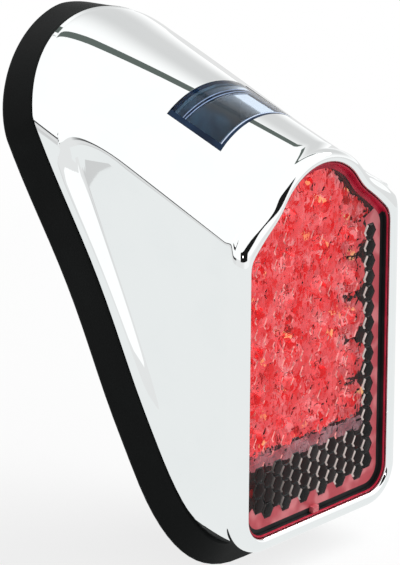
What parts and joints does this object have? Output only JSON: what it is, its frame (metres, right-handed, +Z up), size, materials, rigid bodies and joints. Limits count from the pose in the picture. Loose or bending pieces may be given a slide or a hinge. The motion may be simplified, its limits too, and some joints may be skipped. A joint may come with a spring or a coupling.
{
  "type": "tail light",
  "caption": "Fender-mounted LED tail light: chrome arched housing, red hexagon-prism lens in a raised bezel, clear roof window for the number plate, thick slanted rubber pad with studs.",
  "frame": {"origin": "centre of the rubber pad's flat back face, where it meets the fender", "axes": "+Z up, -Y towards the viewer of the lens (rearwards on the vehicle), +X to that viewer's right; the pad's back face leans 28.5 degrees from upright"},
  "size_m": [0.086, 0.107, 0.1589],
  "materials": {
    "chrome": "mirror-bright plating over die-cast metal",
    "red_lens": "clear red moulded plastic, polished",
    "clear_window": "clear moulded plastic with a faint blue tint",
    "black_rubber": "matte moulded rubber",
    "black_plastic": "satin moulded plastic",
    "board_laminate": "solder-masked laminate",
    "red_lamp": "moulded clear red lamp",
    "white_lamp": "white lamp with a phosphor face",
    "zinc_steel": "zinc-plated steel",
    "lead_sheath": "extruded sheath"
  },
  "bodies": {
    "root": {"base_gasket": "black_rubber", "base_plate": "zinc_steel", "base_screw_1": "zinc_steel", "base_screw_2": "zinc_steel", "base_screw_3": "zinc_steel", "base_screw_4": "zinc_steel", "board_connector": "black_plastic", "current_regulator": "black_plastic", "housing": "chrome", "jumper_lead": "lead_sheath", "lamp_pocket": "black_plastic", "led_board": "board_laminate", "lens": "red_lens", "lens_screw_1": "zinc_steel", "lens_screw_2": "zinc_steel", "lens_screw_3": "zinc_steel", "lens_screw_4": "zinc_steel", "lens_seal": "black_rubber", "mounting_stud_lower": "zinc_steel", "mounting_stud_upper": "zinc_steel", "plate_lamp_board": "board_laminate", "plate_led_1": "white_lamp", "plate_led_2": "white_lamp", "plate_window": "clear_window", "reflector_tray": "black_plastic", "tail_led_01": "red_lamp", "tail_led_02": "red_lamp", "tail_led_03": "red_lamp", "tail_led_04": "red_lamp", "tail_led_05": "red_lamp", "tail_led_06": "red_lamp", "tail_led_07": "red_lamp", "tail_led_08": "red_lamp", "tail_led_09": "red_lamp", "tail_led_10": "red_lamp", "tail_led_11": "red_lamp", "tail_led_12": "red_lamp", "tail_led_13": "red_lamp", "tail_led_14": "red_lamp", "tail_led_15": "red_lamp", "tail_led_16": "red_lamp", "tail_led_17": "red_lamp", "tail_led_18": "red_lamp", "tail_led_19": "red_lamp", "tail_led_20": "red_lamp", "tail_led_21": "red_lamp", "tail_led_22": "red_lamp", "tail_led_23": "red_lamp", "wire_grommet": "black_rubber"}
  },
  "joints": []
}
